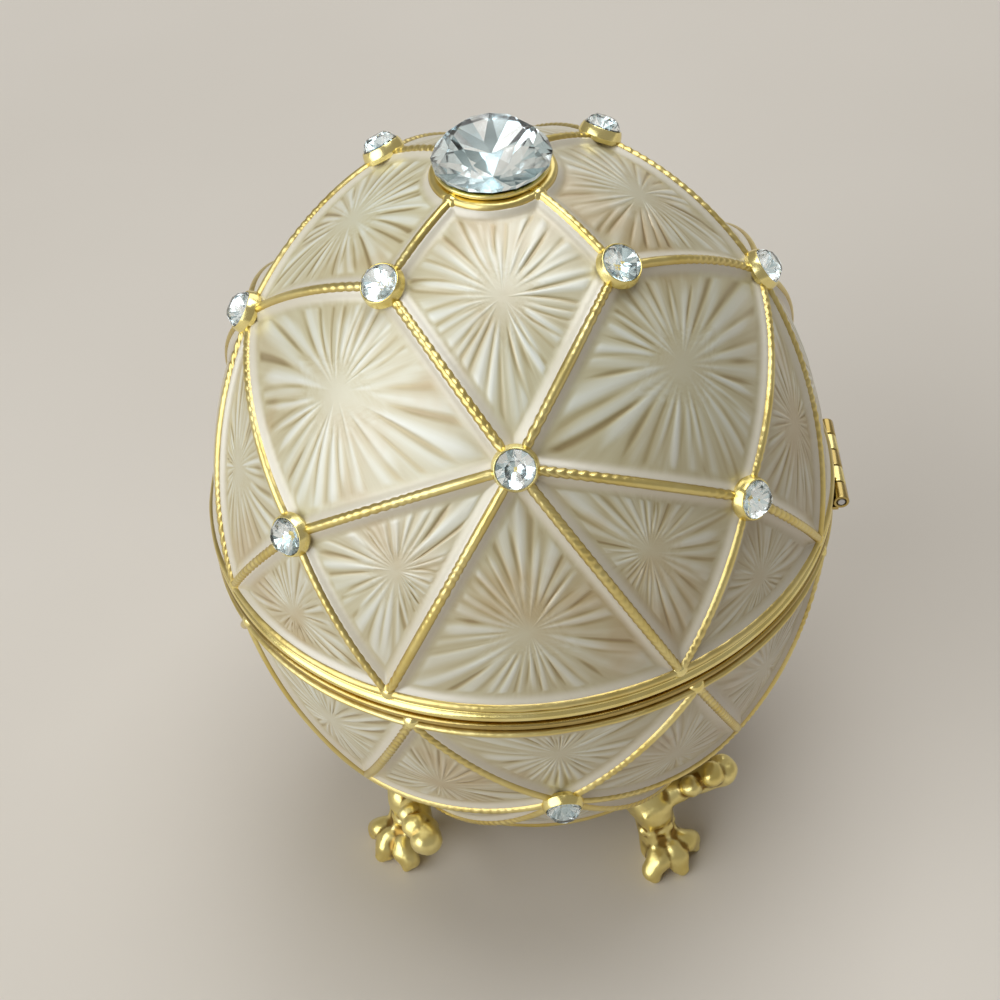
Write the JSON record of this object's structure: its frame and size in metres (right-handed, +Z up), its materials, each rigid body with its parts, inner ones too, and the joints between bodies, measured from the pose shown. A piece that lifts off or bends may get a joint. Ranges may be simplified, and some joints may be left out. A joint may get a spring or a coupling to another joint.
{
  "type": "egg trinket box",
  "caption": "Hinged egg-shaped trinket box with pearl enamel panels under a gold trellis set with clear stones, on small cast scroll feet.",
  "frame": {"origin": "on the table, on the egg's vertical axis, midway between the feet", "axes": "+Z up, the front faces -Y, the hinge is on +X with its axis along Y"},
  "size_m": [0.0564, 0.0554, 0.0753],
  "materials": {
    "pearl_enamel": "translucent pearl enamel over an engraved metal ground",
    "gold_plate": "polished gold plate",
    "clear_stone": "cut and foil-backed",
    "steel": "plain"
  },
  "bodies": {
    "base": {"base_shell": "pearl_enamel", "base_trellis": "gold_plate", "base_stone_01": "clear_stone", "base_stone_02": "clear_stone", "base_stone_03": "clear_stone", "base_stone_04": "clear_stone", "base_rim": "gold_plate", "hinge_pin": "steel", "base_magnet": "steel", "foot_1": "gold_plate", "foot_2": "gold_plate", "foot_3": "gold_plate", "foot_4": "gold_plate"},
    "lid": {"lid_shell": "pearl_enamel", "lid_trellis": "gold_plate", "lid_stone_01": "clear_stone", "lid_stone_02": "clear_stone", "lid_stone_03": "clear_stone", "lid_stone_04": "clear_stone", "lid_stone_05": "clear_stone", "lid_stone_06": "clear_stone", "lid_stone_07": "clear_stone", "lid_stone_08": "clear_stone", "lid_stone_09": "clear_stone", "lid_stone_10": "clear_stone", "lid_stone_11": "clear_stone", "lid_stone_12": "clear_stone", "lid_rim": "gold_plate", "lid_magnet": "steel", "crown_collet": "gold_plate", "crown_stone": "clear_stone"}
  },
  "joints": [
    {"name": "lid_hinge", "type": "hinge", "parent": "base", "child": "lid", "pos_m": [0.02795, 0, 0.0385], "axis": [0, 1, 0], "range_deg": [0, 100]}
  ]
}
